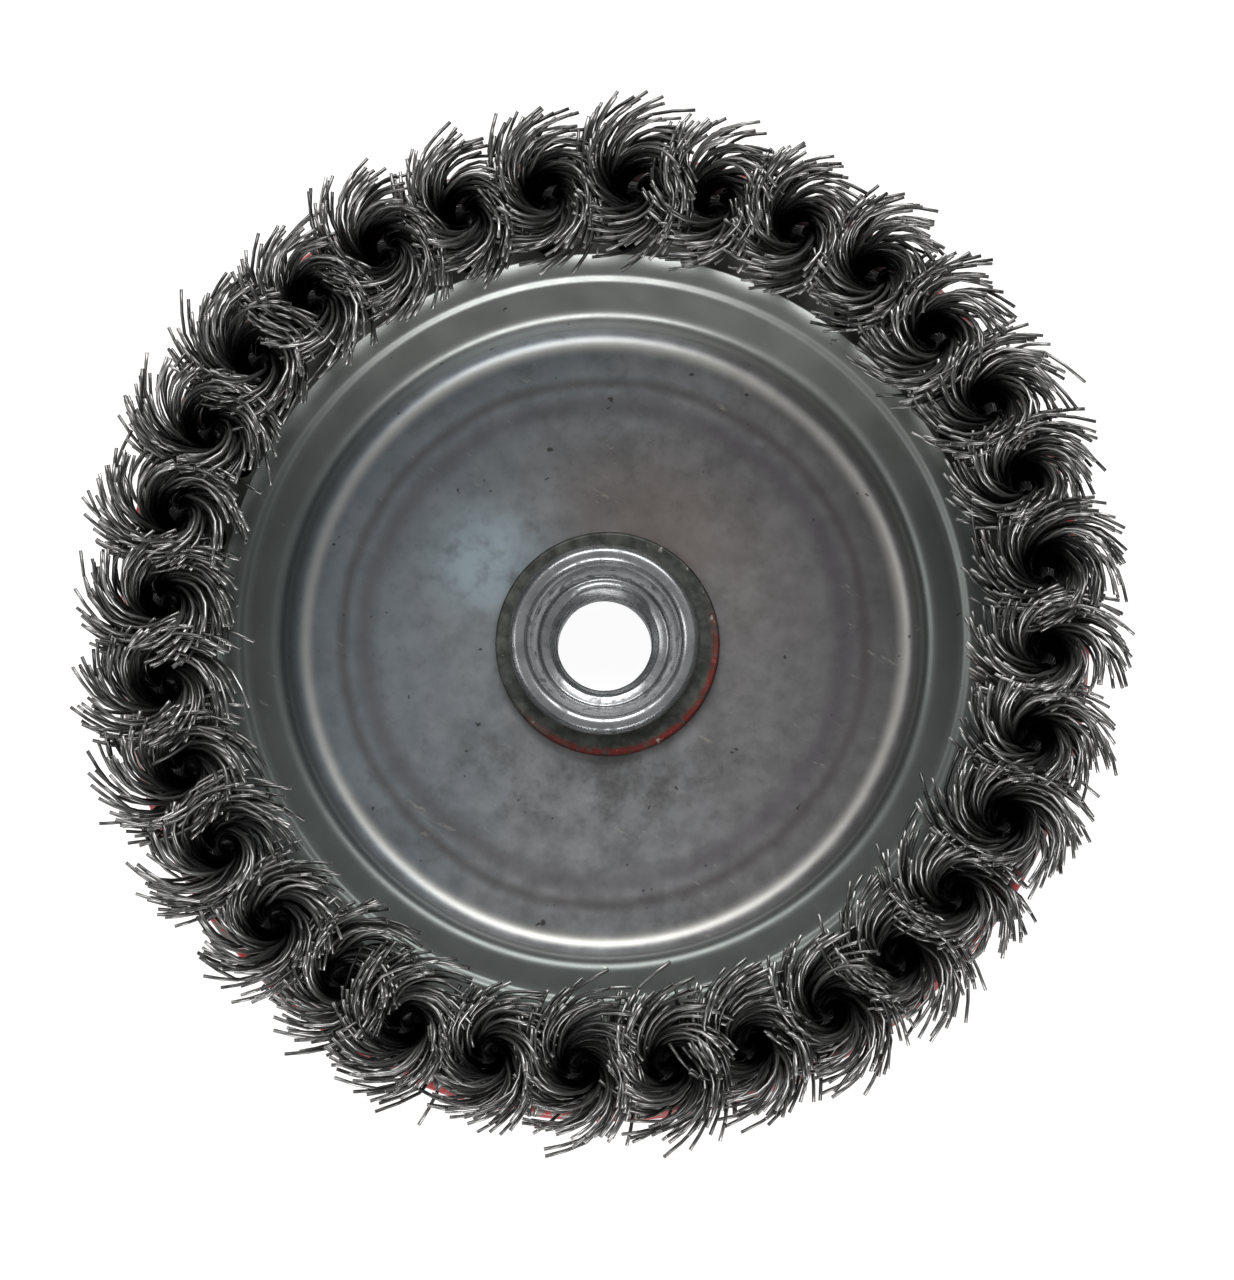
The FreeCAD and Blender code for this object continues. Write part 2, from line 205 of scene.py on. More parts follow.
def turned_piece(name, points, finish):
    """A smooth closed mesh over points[row, column]; rows and columns both close on themselves."""
    rows, columns = points.shape[:2]
    quads = []
    for row in range(rows):
        here = row * columns + np.arange(columns)
        above = (row + 1) % rows * columns + np.arange(columns)
        quads.append(np.stack([here, np.roll(here, -1), np.roll(above, -1), above], 1))
    mesh = bpy.data.meshes.new(name)
    mesh.from_pydata(points.reshape(-1, 3).tolist(), [], np.concatenate(quads).tolist())
    mesh.polygons.foreach_set("use_smooth", [True] * len(mesh.polygons))
    mesh.materials.append(finish)
    piece = bpy.data.objects.new(name, mesh)
    bpy.context.scene.collection.objects.link(piece)
    return piece


def arc(centre, radius, start, end, steps):
    """Points of a profile's round corner, from one bearing to another in degrees."""
    bearings = np.radians(np.linspace(start, end, steps))
    return [(centre[0] + radius * math.cos(b), centre[1] + radius * math.sin(b)) for b in bearings]


def steel_colour(finish, place, dark, light, patch):
    """Grey plate that clouds over from dark to light, in patches of a given number per metre."""
    return finish.blend(finish.noise(place, patch, 6.0, 0.6).within(0.35, 0.68), dark, light)


nut_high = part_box("hub_nut")[1]
LIP_TOP = nut_high.z / MM
HEX_APOTHEM = nut_high.y / MM
HEX_HEIGHT = 8.0
HEX_CHAMFER = 1.4
SPIGOT = 10.6
LIP_OUT = 11.9
LIP_IN = 9.5
LIP_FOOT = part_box("hub_washer")[1].z / MM
THROAT = 8.1
THROAT_FLOOR = LIP_TOP - 5.6
MINOR = 5.92
THREAD_DEPTH = 1.08
PITCH = 2.0
LEAD_IN = 1.0
NUT_COLUMNS = 192

bore_heights = np.linspace(0, THROAT_FLOOR, 96)
hub_outside = ([(THROAT - 0.3, THROAT_FLOOR + 0.02), (THROAT - 0.05, THROAT_FLOOR + 0.12),
                (THROAT + 0.12, THROAT_FLOOR + 0.6)]
               + [(THROAT + (LIP_IN - THROAT) * t ** 1.3, THROAT_FLOOR + 0.6 + 3.9 * t)
                  for t in np.linspace(0.15, 1.0, 8)]
               + arc((LIP_IN + 1.05, LIP_TOP - 1.08), 1.08, 172, 90, 9)
               + arc((LIP_OUT - 1.12, LIP_TOP - 1.12), 1.12, 84, -20, 11)
               + [(LIP_OUT - 0.12, LIP_FOOT + 1.0), (LIP_OUT - 0.30, LIP_FOOT + 0.4),
                  (LIP_OUT - 0.42, LIP_FOOT + 0.05), (SPIGOT, LIP_FOOT), (SPIGOT, HEX_HEIGHT)])
hex_heights = [HEX_HEIGHT, HEX_HEIGHT - 0.02, HEX_HEIGHT - 0.4]
hex_heights += list(np.linspace(HEX_HEIGHT - 1.2, 2.4, 5)) + list(np.linspace(2.0, 0.0, 14))

turns = np.linspace(0, 2 * math.pi, NUT_COLUMNS, endpoint=False)
rings = []
for z in bore_heights:
    along = (z / PITCH - turns / (2 * math.pi)) % 1.0
    groove = np.clip(1.45 * (1 - np.abs(2 * along - 1)) - 0.2, 0, 1)
    cone = MINOR + max(0.0, LEAD_IN - z, z - (THROAT_FLOOR - LEAD_IN))
    rings.append((np.maximum(MINOR + THREAD_DEPTH * groove, cone), z))
for radius, z in hub_outside:
    rings.append((np.full(NUT_COLUMNS, radius), z))
flat = HEX_APOTHEM / np.cos((turns + math.pi / 6) % (math.pi / 3) - math.pi / 6)
corner = HEX_APOTHEM / math.cos(math.pi / 6)
slope = 1 / math.tan(math.radians(30))
for z in hex_heights:
    under = corner - HEX_CHAMFER + z * slope
    over = corner - 0.25 + (HEX_HEIGHT - z) * slope
    rings.append((np.minimum(flat, min(under, over)), z))
points = np.stack([np.stack([radius * np.cos(turns), radius * np.sin(turns),
                             np.full(NUT_COLUMNS, z)], 1) for radius, z in rings]) * MM

turned_steel = Finish("turned_zinc_steel")
spot = turned_steel.node("TexCoord", output="Object")
xyz = [turned_steel.node("SeparateXYZ", {}, {0: spot}, axis) for axis in range(3)]
radius = (xyz[0] * xyz[0] + xyz[1] * xyz[1]).root()
lathe_lines = turned_steel.noise(
    turned_steel.node("CombineXYZ", {}, {0: radius * 9.0, 1: xyz[2] * 9.0}), 900.0, 3.0)
dents = turned_steel.noise(spot, 1400.0, 3.0, 0.6)
colour = steel_colour(turned_steel, spot, (0.30, 0.31, 0.315), (0.42, 0.43, 0.435), 300.0)
grime = turned_steel.noise(spot, 800.0, 5.0).within(0.52, 0.72)
colour = turned_steel.blend(grime * 0.55, colour, (0.055, 0.050, 0.045))
relief = turned_steel.node("Bump", {}, {"Strength": 0.14, "Distance": 0.05 * MM,
                                        "Height": lathe_lines * 0.6 + dents})
turned_zinc = turned_steel.end(turned_steel.node("BsdfPrincipled", {}, {
    "Base Color": colour, "Metallic": 0.92, "Roughness": 0.26 + grime * 0.25, "Normal": relief}))

hub = turned_piece("hub_nut_tapped", points, turned_zinc)
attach(hub, "root")
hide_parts("hub_nut")


# --- Outer cup --------------------------------------------------------------------------------
# Pressed steel shell, clamped on the hub's hexagon.  Red enamel outside, glossy with a faint orange
# peel and chipped at the rim; inside it is bare, and painted near black as shade under the knots,
# a little over the rim's edge.

cup_low, cup_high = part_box("outer_cup")
CUP_BEND = 8.0
enamel = Finish("red_enamel")
spot = enamel.node("TexCoord", output="Object")
xyz = [enamel.node("SeparateXYZ", {}, {0: spot}, axis) for axis in range(3)]
radius = (xyz[0] * xyz[0] + xyz[1] * xyz[1]).root()
peel = enamel.noise(spot, 900.0, 3.0, 0.5)
drift = enamel.noise(spot, 60.0, 3.0, 0.5)
chips = enamel.noise(spot, 420.0, 5.0, 0.7)
near_rim = (xyz[2] * 1000.0).within(cup_high.z / MM - 1.3, cup_high.z / MM - 0.1)
bare = (chips + near_rim * 0.26).within(0.74, 0.77)
colour = enamel.blend(drift.within(0.3, 0.7), (0.25, 0.008, 0.007), (0.34, 0.014, 0.011))
colour = enamel.blend(bare, colour, (0.16, 0.15, 0.14))
dust = enamel.noise(spot, 240.0, 6.0, 0.7).within(0.60, 0.80)
colour = enamel.blend(dust * 0.25, colour, (0.20, 0.05, 0.04))
# painted shade: the bare inside of the cup, a little over the rim, is coloured near black as the shade
# under the knots
past_bend = (radius - (cup_high.x - CUP_BEND * MM)).at_least(0.0)
below_bend = (cup_low.z + CUP_BEND * MM - xyz[2]).at_least(0.0)
from_bend = past_bend * past_bend + below_bend * below_bend
bare_inside_painted_shade = from_bend.within((CUP_BEND - 0.5) ** 2 * MM * MM, (CUP_BEND - 1.3) ** 2 * MM * MM)
colour = enamel.blend(bare_inside_painted_shade * 0.95, colour, (0.022, 0.019, 0.018))
relief = enamel.node("Bump", {}, {"Strength": 0.20, "Distance": 0.10 * MM,
                                  "Height": peel * 0.5 - bare * 0.8})
painted = enamel.end(enamel.node("BsdfPrincipled", {}, {
    "Base Color": colour, "Metallic": bare * 0.8,
    "Roughness": 0.30 + bare * 0.15 + dust * 0.2 + bare_inside_painted_shade * 0.5,
    "Coat Weight": (1 - bare) * (1 - bare_inside_painted_shade) * 0.3, "Coat Roughness": 0.12, "Normal": relief}))
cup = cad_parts["outer_cup"]
cup.data.materials.clear()
cup.data.materials.append(painted)


# --- Knot holder ------------------------------------------------------------------------------
# Pressed disc under the dish, punched with one hole for each knot.  Same sheet as the dish, but
# coloured much darker.

holder_plate = Finish("dark_holder_plate")
spot = holder_plate.node("TexCoord", output="Object")
film = holder_plate.noise(spot, 260.0, 5.0, 0.6)
colour = steel_colour(holder_plate, spot, (0.045, 0.044, 0.040), (0.11, 0.11, 0.10), 180.0)
relief = holder_plate.node("Bump", {}, {"Strength": 0.25, "Distance": 0.05 * MM, "Height": film})
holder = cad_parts["knot_holder"]
holder.data.materials.clear()
holder.data.materials.append(holder_plate.end(holder_plate.node("BsdfPrincipled", {}, {
    "Base Color": colour, "Metallic": 0.8, "Roughness": 0.35 + film * 0.3, "Normal": relief})))


# --- Wire knots -------------------------------------------------------------------------------
# Each knot is a bundle of steel wires, folded in the middle through its hole and over the holder's
# edge.  The two halves are twisted together like a rope; above the twist the wires spring apart
# into a swirling trumpet round a dark mouth, and were sheared off there, leaving bright cut ends.

knot_names = sorted(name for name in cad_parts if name.startswith("knot_") and name[5:].isdigit())
KNOT_RING = 53.0
HAIRPINS = 62
WIRE_RADIUS = 0.225
WIRE_SIDES = 6
LEG_SPREAD = 2.7
LOBE_OFFSET = 1.12
LOBE_RADIUS = 1.15
FOLD_HEIGHT = 15.5
GATHERED = 22.0
STEM_TOP = 29.6
TIP_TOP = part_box("knot_01")[1].z / MM
LAY = math.radians(-360.0 / 13.0)
MOUTH = 3.1
MOUTH_SPREAD = 1.2
RIM_HEIGHT = 43.6
RIM_DROP = 7.0
TIP_DROP = 4.2
REACH_OUT = 9.7
REACH_ALONG = 7.3
SWEEP = math.radians(76)
SWEEP_DROP = math.radians(10)
STRAYS = 0.06
STEM_STEPS = 6
FOLD_STEPS = 5


def drawn_wire():
    """Dark drawn steel: each wire a little lighter or darker, with painted shade: black down in the mouth
    and on the crest of the stem.
    """
    finish = Finish("drawn_steel_wire")
    tone = finish.node("Attribute", {"attribute_name": "wire_tone"}, output="Fac")
    deep = finish.node("Attribute", {"attribute_name": "wire_painted_shade"}, output="Fac")
    spot = finish.node("TexCoord", output="Object")
    film = finish.noise(spot, 260.0, 3.0, 0.6)
    stain = finish.noise(spot, 130.0, 4.0, 0.6).within(0.64, 0.75)
    colour = finish.blend(tone, (0.045, 0.044, 0.044), (0.42, 0.415, 0.405))
    colour = finish.blend(film.within(0.45, 0.75) * 0.35, colour, (0.05, 0.048, 0.046))
    colour = finish.blend(stain * 0.30, colour, (0.10, 0.030, 0.022))
    # painted shade: wires down in the mouth and on the crest of the stem are coloured near black
    colour = finish.blend(deep * 0.98, colour, (0.005, 0.005, 0.005))
    return finish.end(finish.node("BsdfPrincipled", {}, {
        "Base Color": colour, "Metallic": 0.88 + deep * 0.1, "Specular IOR Level": 0.25,
        "Roughness": 0.27 + film * 0.06 + deep * 0.5}))


def sheared_steel():
    """The bright, torn end of a cut wire."""
    finish = Finish("sheared_wire_end")
    spot = finish.node("TexCoord", output="Object")
    tear = finish.noise(spot, 4000.0, 2.0, 0.6)
    colour = finish.blend(tear, (0.30, 0.29, 0.28), (0.62, 0.61, 0.60))
    return finish.end(finish.node("BsdfPrincipled", {}, {
        "Base Color": colour, "Metallic": 0.7, "Roughness": 0.35 + tear * 0.2}))


wire_finishes = (drawn_wire(), sheared_steel())


def flowing(control, finer):
    """Smooth curves through control[wire, point, xyz], with some points added between each two."""
    pace = np.gradient(control, axis=1)
    here, there = control[:, :-1, None], control[:, 1:, None]
    leave, meet = pace[:, :-1, None], pace[:, 1:, None]
    t = (np.arange(finer) / finer)[None, None, :, None]
    curve = ((2 * t ** 3 - 3 * t ** 2 + 1) * here + (t ** 3 - 2 * t ** 2 + t) * leave
             + (3 * t ** 2 - 2 * t ** 3) * there + (t ** 3 - t ** 2) * meet)
    return np.concatenate([curve.reshape(len(control), -1, 3), control[:, -1:]], 1)


def knot_lines(rng):
    """Centre lines of one knot's hairpins in its own frame, as an array [hairpin, point, xyz]."""
    wires = 2 * HAIRPINS
    bearing = (np.arange(wires) + rng.uniform(-0.5, 0.5, wires)) / wires * 2 * math.pi
    lobe = np.where(np.cos(bearing) >= 0, 1.0, -1.0)
    layer = (np.arange(wires) * 0.618034 + rng.random()) % 1.0
    within = np.where(lobe > 0, 2 * bearing, 2 * (bearing - math.pi))
    deep = LOBE_RADIUS * np.sqrt(0.10 + 0.90 * layer)
    lobe_x = lobe * LOBE_OFFSET + deep * np.cos(within)
    lobe_y = deep * np.sin(within)
    lay = LAY * rng.uniform(0.92, 1.08)

    # the stem turns as one; below it the halves part, to the hole and over the holder's edge
    leg_x = lobe * LEG_SPREAD + (lobe_x - lobe * LOBE_OFFSET) * 0.95
    leg_y = lobe_y * 0.95
    down = np.linspace(0, 1, 3, endpoint=False)[None, :]
    ease = down * down * (3 - 2 * down)
    part = np.stack([leg_x[:, None] + (lobe_x - leg_x)[:, None] * ease,
                     leg_y[:, None] + (lobe_y - leg_y)[:, None] * ease,
                     np.broadcast_to(FOLD_HEIGHT + (GATHERED - FOLD_HEIGHT) * down, (wires, 3))], 2)
    climb = np.linspace(GATHERED, STEM_TOP, STEM_STEPS)[None, :]
    turn = lay * (climb - GATHERED)
    stem = np.stack([lobe_x[:, None] * np.cos(turn) - lobe_y[:, None] * np.sin(turn),
                     lobe_x[:, None] * np.sin(turn) + lobe_y[:, None] * np.cos(turn),
                     np.broadcast_to(climb, (wires, STEM_STEPS))], 2)

    # above it each wire winds up the wall of the mouth, then sweeps out past its rim
    size = rng.uniform(0.94, 1.05)
    squash = rng.uniform(0.92, 1.08)
    lean = rng.normal(0, 0.45, 2)
    tilt = rng.normal(0, 0.04, 2)
    loose = np.clip(layer + rng.normal(0, 0.07, wires), 0, 1)
    mouth = (MOUTH + MOUTH_SPREAD * loose) * size + rng.normal(0, 0.16, wires)
    rim_height = RIM_HEIGHT - RIM_DROP * loose + rng.normal(0, 0.5, wires)
    tip_height = TIP_TOP - 0.4 - TIP_DROP * loose ** 1.3 + rng.normal(0, 0.5, wires)
    wound = lay * (STEM_TOP - GATHERED)
    unwind = -math.radians(62) - math.radians(7.0) * (rim_height - STEM_TOP)
    rim = bearing + wound + unwind + rng.normal(0, math.radians(2.5), wires)
    sweep = SWEEP - SWEEP_DROP * loose + rng.normal(0, math.radians(14), wires)
    tip_bearing = rim - sweep
    wide = REACH_OUT * size * squash
    narrow = REACH_ALONG * size / squash
    reach = (np.abs(np.cos(tip_bearing) / wide) ** 3
             + np.abs(np.sin(tip_bearing) / narrow) ** 3) ** (-1 / 3)
    reach *= 0.70 + 0.32 * loose + rng.normal(0, 0.05, wires)
    stray = rng.random(wires) < STRAYS
    reach *= np.where(stray, rng.uniform(1.05, 1.18, wires), 1.0)
    curl = rng.uniform(0.85, 1.25, wires)
    flare = []
    for share in (0.22, 0.46, 0.68, 0.86):
        turn = wound + (rim - bearing - wound) * share
        opened = share ** (1.25 - 0.2 * loose)
        x = lobe_x * (1 - opened) + mouth * np.cos(bearing) * opened
        y = lobe_y * (1 - opened) + mouth * np.sin(bearing) * opened
        flare.append(np.stack([x * np.cos(turn) - y * np.sin(turn), x * np.sin(turn) + y * np.cos(turn),
                               STEM_TOP + (rim_height - STEM_TOP) * share], 1))
    for share in (0.0, 0.30, 0.65, 1.0):
        angle = rim - sweep * share ** 0.95
        radius = mouth + (reach - mouth) * share ** curl
        flare.append(np.stack([radius * np.cos(angle), radius * np.sin(angle),
                               rim_height + (tip_height - rim_height) * (1 - (1 - share) ** 1.7)], 1))
    flare = np.stack(flare, 1)
    rise = np.clip((flare[:, :, 2] - STEM_TOP) / (TIP_TOP - STEM_TOP), 0, 1)
    flare[:, :, :2] += lean * rise[:, :, None]
    flare[:, :, 2] += np.sum(flare[:, :, :2] * tilt, 2) * rise
    flare[:, :, 2] = np.minimum(flare[:, :, 2], TIP_TOP + 0.5)
    crown = flowing(np.concatenate([stem[:, -2:], flare], 1), 2)[:, 3:]
    up = np.concatenate([part, stem, crown], 1)

    outer = np.flatnonzero(lobe > 0)
    inner = np.flatnonzero(lobe < 0)
    outer = outer[np.argsort(leg_x[outer])]
    inner = inner[np.argsort(-leg_x[inner])]
    count = min(len(outer), len(inner))
    first, last = up[inner[:count]], up[outer[:count]]
    bend = np.linspace(0, math.pi, FOLD_STEPS + 2)[None, 1:-1, None]
    middle = (first[:, :1] + last[:, :1]) / 2
    half = (last[:, :1] - first[:, :1]) / 2
    fold = middle - half * np.cos(bend)
    fold[:, :, 2] -= np.abs(half[:, :, 0]) * np.sin(bend[:, :, 0])
    return np.concatenate([first[:, ::-1], fold, last], 1)


def tube_mesh(name, lines, deep, crest, rng):
    """One mesh of round wires along the lines, with flat cut ends and a strip of its map for each.

    Points are painted black as shade where they are deep, and at the crest of the stem where their skin
    faces up.
    """
    wires, length = lines.shape[:2]
    ahead = np.gradient(lines, axis=1)
    ahead /= np.linalg.norm(ahead, axis=2, keepdims=True)
    side = np.cross(ahead[:, 0], (0.31, 0.42, 0.85))
    side /= np.linalg.norm(side, axis=1, keepdims=True)
    sides = [side]
    for step in range(1, length):
        side = side - ahead[:, step] * np.sum(side * ahead[:, step], 1, keepdims=True)
        side /= np.linalg.norm(side, axis=1, keepdims=True)
        sides.append(side)
    side = np.stack(sides, 1)
    other = np.cross(ahead, side)
    around = np.linspace(0, 2 * math.pi, WIRE_SIDES, endpoint=False)
    skin = (lines[:, :, None] + WIRE_RADIUS * (side[:, :, None] * np.cos(around)[:, None]
                                               + other[:, :, None] * np.sin(around)[:, None]))
    index = np.arange(wires * length * WIRE_SIDES).reshape(wires, length, WIRE_SIDES)
    here, there = index[:, :-1], index[:, 1:]
    quads = np.stack([here, np.roll(here, -1, 2), np.roll(there, -1, 2), there], -1).reshape(-1, 4)
    caps = np.concatenate([index[:, 0, ::-1], index[:, -1]])
    mesh = bpy.data.meshes.new(name)
    mesh.vertices.add(skin.size // 3)
    mesh.vertices.foreach_set("co", (skin.reshape(-1) * MM).astype(np.float32))
    corners = np.concatenate([quads.reshape(-1), caps.reshape(-1)])
    mesh.loops.add(len(corners))
    mesh.loops.foreach_set("vertex_index", corners.astype(np.int32))
    totals = np.concatenate([np.full(len(quads), 4), np.full(len(caps), WIRE_SIDES)])
    mesh.polygons.add(len(totals))
    mesh.polygons.foreach_set("loop_start", np.concatenate([[0], np.cumsum(totals)[:-1]]).astype(np.int32))
    smooth = np.arange(len(totals)) < len(quads)
    for finish in wire_finishes:
        mesh.materials.append(finish)
    mesh.update(calc_edges=True)
    mesh.polygons.foreach_set("use_smooth", smooth)
    mesh.polygons.foreach_set("material_index", (~smooth).astype(np.int32))
    tone = np.repeat(rng.beta(1.3, 2.7, wires), length * WIRE_SIDES)
    mesh.attributes.new("wire_tone", "FLOAT", "POINT").data.foreach_set("value", tone.astype(np.float32))
    # painted shade: black where the wires lie deep in the mouth, and where their skin faces up at the
    # stem's crest
    facing_up = np.clip(((skin - lines[:, :, None])[..., 2] / WIRE_RADIUS + 0.05) / 0.25, 0, 1)
    shade = np.maximum(deep[:, :, None], crest[:, :, None] * facing_up).reshape(-1)
    mesh.attributes.new("wire_painted_shade", "FLOAT", "POINT").data.foreach_set("value", shade.astype(np.float32))

    # each wire has a strip of the map, with its two cut ends beyond the strip's end
    wire, step, part = np.meshgrid(np.arange(wires), np.arange(length - 1), np.arange(WIRE_SIDES),
                                   indexing="ij")
    low, high = step / (length - 1) * 0.94, (step + 1) / (length - 1) * 0.94
    near, far = (wire + part / WIRE_SIDES * 0.9) / wires, (wire + (part + 1) / WIRE_SIDES * 0.9) / wires
    strips = np.stack([low, near, low, far, high, far, high, near], -1).reshape(-1)
    ends = []
    for place, direction in ((0.96, -1), (0.985, 1)):
        corner = around * direction
        ends.append(np.stack([np.broadcast_to(place + 0.009 * np.cos(corner), (wires, WIRE_SIDES)),
                              (np.arange(wires)[:, None] + 0.45 + 0.4 * np.sin(corner)) / wires], -1))
    mesh.uv_layers.new(name="OFBake").data.foreach_set(
        "uv", np.concatenate([strips, np.stack(ends).reshape(-1)]).astype(np.float32))
    mesh.validate()
    return mesh


for number, name in enumerate(knot_names):
    rng = np.random.default_rng(4100 + number)
    lines = knot_lines(rng)
    from_axis = np.hypot(lines[..., 0], lines[..., 1])
    # painted shade: how black each wire is painted, deep in the mouth and at the crest of the stem
    reach_down = np.clip((lines[..., 2] - STEM_TOP - 0.5) / 4, 0, 1)
    deep = (np.clip((1.7 + 1.5 * reach_down - from_axis) / 0.7, 0, 1)
            * np.clip((lines[..., 2] - 22) / 2, 0, 1) * np.clip((45.5 - lines[..., 2]) / 4, 0, 1))
    crest = (np.clip((3.3 - from_axis) / 0.5, 0, 1) * np.clip((lines[..., 2] - 27) / 2, 0, 1)
             * np.clip((36.5 - lines[..., 2]) / 3, 0, 1))
    turn = 2 * math.pi * number / len(knot_names)
    out = lines[..., 0] + KNOT_RING
    lines = np.stack([out * math.cos(turn) - lines[..., 1] * math.sin(turn),
                      out * math.sin(turn) + lines[..., 1] * math.cos(turn), lines[..., 2]], -1)
    knot = bpy.data.objects.new(f"wires_{name[5:]}", tube_mesh(name, lines, deep, crest, rng))
    bpy.context.scene.collection.objects.link(knot)
    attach(knot, "root")
    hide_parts(name)


# --- Inner dish -------------------------------------------------------------------------------
# Pressed from zinc-plated sheet.  The floor is clouded and heat tinted, bluish to one side and
# brown towards the hub, with dark ring marks, a painted highlight ring near its edge, a painted
# sheen left of the hub and a painted shadow on the hub's near side.  The outer bands are greener,
# and paler at the far side, which is painted light.

dish_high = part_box("inner_dish")[1]
DISH_RADIUS = dish_high.x / MM
DISH_COLUMNS = 240
plate = Finish("pressed_zinc_plate")
spot = plate.node("TexCoord", output="Object")
xyz = [plate.node("SeparateXYZ", {}, {0: spot}, axis) for axis in range(3)]
radius = (xyz[0] * xyz[0] + xyz[1] * xyz[1]).root()
radius_mm = radius * 1000.0


def ring_mark(middle, width, wobble=0.0):
    """1 on a thin ring about the axis, fading over its width, in millimetres."""
    return 1 - (radius_mm + wobble - middle).unsigned().within(0.0, width)


cloud = plate.noise(spot, 55.0, 5.0, 0.55)
mottle = plate.noise(spot, 320.0, 4.0, 0.6)
grain = plate.noise(spot, 1500.0, 2.0, 0.5)
colour = plate.blend(mottle.within(0.22, 0.78), (0.205, 0.208, 0.212), (0.330, 0.333, 0.340))
blue_side = (xyz[0] * -22.0 + xyz[1] * 4.0 + cloud).within(0.35, 1.15)
colour = plate.blend(blue_side * 0.60, colour, (0.215, 0.260, 0.290))
brown_top = (xyz[1] * 20.0 + xyz[0] * 14.0 + cloud * 0.9).within(0.45, 1.1)
colour = plate.blend(brown_top * radius_mm.within(32.0, 14.0) * 0.80, colour, (0.225, 0.172, 0.145))
right_side = (xyz[0] * 26.0 + cloud * 0.8).within(0.45, 1.25)
colour = plate.blend(right_side * 0.55, colour, (0.150, 0.140, 0.142))
smear = plate.noise(spot, 130.0, 6.0, 0.7).within(0.44, 0.66)
colour = plate.blend(smear * cloud.within(0.40, 0.62) * 0.35, colour, (0.120, 0.118, 0.118))
crackle = plate.noise(spot, 520.0, 8.0, 0.8).within(0.52, 0.70)
colour = plate.blend(crackle * 0.30, colour, (0.110, 0.104, 0.100))
# painted highlight: a bluish sheen on the floor to the left of the hub
left_of_hub = plate.node("VectorMath", {"operation": "DISTANCE"},
                         {0: spot, 1: (-15.5 * MM, 9.5 * MM, 12.7 * MM)}, "Value")
painted_sheen = left_of_hub.within(10.0 * MM, 1.5 * MM) * mottle.within(0.20, 0.60)
colour = plate.blend(painted_sheen * 0.80, colour, (0.400, 0.500, 0.540))
# painted shadow: the floor darker on the near side of the hub, broken up by the smears
near_side_shadow = (xyz[1] * -45.0 + cloud * 0.6).within(0.75, 1.15) * radius_mm.within(28.0, 16.0)
colour = plate.blend(near_side_shadow * smear * 0.75, colour, (0.095, 0.092, 0.088))
wobble = (cloud - 0.5) * 1.6
colour = plate.blend(ring_mark(30.0, 2.4, wobble) * 0.55, colour, (0.120, 0.108, 0.116))
colour = plate.blend(ring_mark(32.8, 1.3, wobble) * 0.60, colour, (0.105, 0.092, 0.090))
# painted highlight: a pale ring on the floor near its edge, standing for the shoulder's reflection
colour = plate.blend(ring_mark(37.3, 1.3) * 0.55, colour, (0.520, 0.510, 0.470))
bands = radius_mm.within(38.4, 39.8)
# painted light: the outer bands are paler towards the far side, where the far lamp's light falls
far_side_painted_light = (xyz[1] * 28.0 + cloud * 0.4).within(0.55, 1.35)
band_colour = plate.blend(far_side_painted_light, (0.130, 0.144, 0.136), (0.290, 0.300, 0.285))
colour = plate.blend(bands * 0.9, colour, band_colour)
specks = plate.noise(spot, 430.0, 2.0, 0.8).within(0.715, 0.74)
colour = plate.blend(specks * 0.8, colour, (0.05, 0.045, 0.04))
drawn_out = plate.node("Mapping", {"vector_type": "TEXTURE"}, {
    "Vector": spot, "Rotation": (0, 0, -0.5), "Scale": (1.0, 0.28, 1.0)})
scuffs = plate.noise(drawn_out, 210.0, 4.0, 0.7).within(0.63, 0.72) * cloud.within(0.46, 0.60)
colour = plate.blend(scuffs * 0.45, colour, (0.50, 0.48, 0.42))
rough = 0.36 + mottle * 0.16 - scuffs * 0.08 - bands * 0.05
relief = plate.node("Bump", {}, {"Strength": 0.22, "Distance": 0.06 * MM,
                                 "Height": grain * 0.5 + mottle * 0.6 + scuffs * 0.3})
pressed_plate = plate.end(plate.node("BsdfPrincipled", {}, {
    "Base Color": colour, "Metallic": 0.82, "Roughness": rough, "Normal": relief}))

FLOOR_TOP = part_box("hub_washer")[0].z / MM
FLANGE_TOP = dish_high.z / MM
SHEET = 1.2
HUB_HOLE = 10.65
FOOT_START = 36.6
HEAD_END = 41.4
BAND_TOP = 18.5
FOOT_ROUND = 2.7
HEAD_ROUND = 1.9
STEEPEST = 75
bend_in = [(FOOT_START + FOOT_ROUND * math.sin(t), FLOOR_TOP + FOOT_ROUND * (1 - math.cos(t)))
           for t in np.radians(np.linspace(0, STEEPEST, 12))]
bend_out = [(HEAD_END - HEAD_ROUND * math.sin(t), BAND_TOP - HEAD_ROUND * (1 - math.cos(t)))
            for t in np.radians(np.linspace(STEEPEST, 0, 12))]
small_step = [(44.3 + 1.2 * t, BAND_TOP + (FLANGE_TOP - BAND_TOP) * t * t * (3 - 2 * t))
              for t in np.linspace(0, 1, 7)]
face = [(HUB_HOLE, FLOOR_TOP)] + [(r, FLOOR_TOP) for r in np.linspace(12.0, 36.0, 12)]
face += bend_in + bend_out + [(42.2, BAND_TOP), (43.6, BAND_TOP)] + small_step
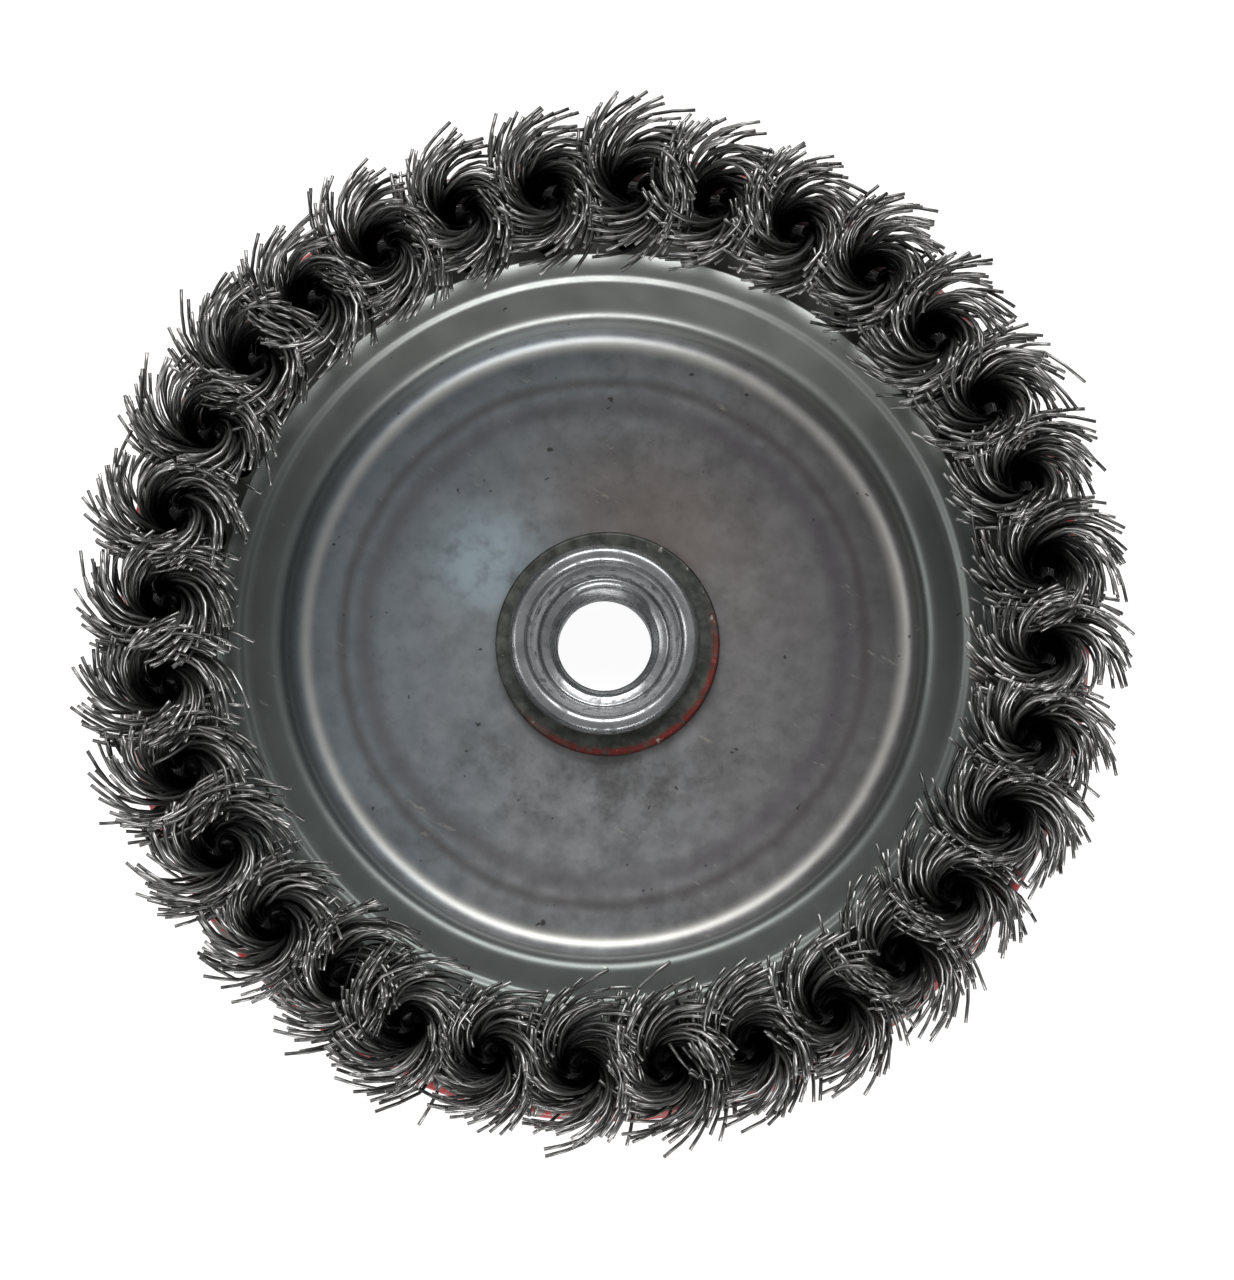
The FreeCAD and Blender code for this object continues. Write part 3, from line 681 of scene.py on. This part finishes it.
face += [(46.2, FLANGE_TOP), (DISH_RADIUS - 0.25, FLANGE_TOP), (DISH_RADIUS - 0.05, FLANGE_TOP - 0.12),
         (DISH_RADIUS, FLANGE_TOP - 0.35), (DISH_RADIUS, FLANGE_TOP - SHEET)]
under = [(r, z - SHEET) for r, z in reversed(face[:-3])]
profile = np.array(face + under)
round_bearings = np.linspace(0, 2 * math.pi, DISH_COLUMNS, endpoint=False)
points = np.stack([profile[:, :1] * np.cos(round_bearings), profile[:, :1] * np.sin(round_bearings),
                   np.repeat(profile[:, 1:], DISH_COLUMNS, 1)], 2) * MM
dish = turned_piece("dish_pressing", points, pressed_plate)
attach(dish, "root")
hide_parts("inner_dish")


# --- Hub washer -------------------------------------------------------------------------------
# Plain pressed washer under the lip, pushed a little to one side.  Its face is dull and oily, and
# red paint that was sprayed through the bore has crept round its lower right edge.

washer_low, washer_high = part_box("hub_washer")
washer_middle = (washer_low + washer_high) / 2
washer_radius = (washer_high.x - washer_low.x) / 2
dull_washer = Finish("dull_washer_steel")
spot = dull_washer.node("TexCoord", output="Object")
xyz = [dull_washer.node("SeparateXYZ", {}, {0: spot}, axis) for axis in range(3)]
across = xyz[0] - washer_middle.x
along = xyz[1] - washer_middle.y
radius = (across * across + along * along).root()
edge = radius.within(washer_radius - 1.2 * MM, washer_radius - 0.5 * MM)
side = ((across * 0.55 - along * 0.85) / washer_radius).within(0.0, 0.70)
flecks = dull_washer.noise(spot, 700.0, 4.0, 0.7)
colour = steel_colour(dull_washer, spot, (0.055, 0.058, 0.052), (0.13, 0.135, 0.12), 500.0)
colour = dull_washer.blend(edge * side * flecks.within(0.34, 0.58) * 0.9, colour, (0.24, 0.024, 0.018))
colour = dull_washer.blend(edge * flecks.within(0.62, 0.70), colour, (0.42, 0.40, 0.36))
relief = dull_washer.node("Bump", {}, {"Strength": 0.35, "Distance": 0.06 * MM, "Height": flecks})
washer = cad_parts["hub_washer"]
washer.data.materials.clear()
washer.data.materials.append(dull_washer.end(dull_washer.node("BsdfPrincipled", {}, {
    "Base Color": colour, "Metallic": 0.75, "Roughness": 0.38 + flecks * 0.2, "Normal": relief})))
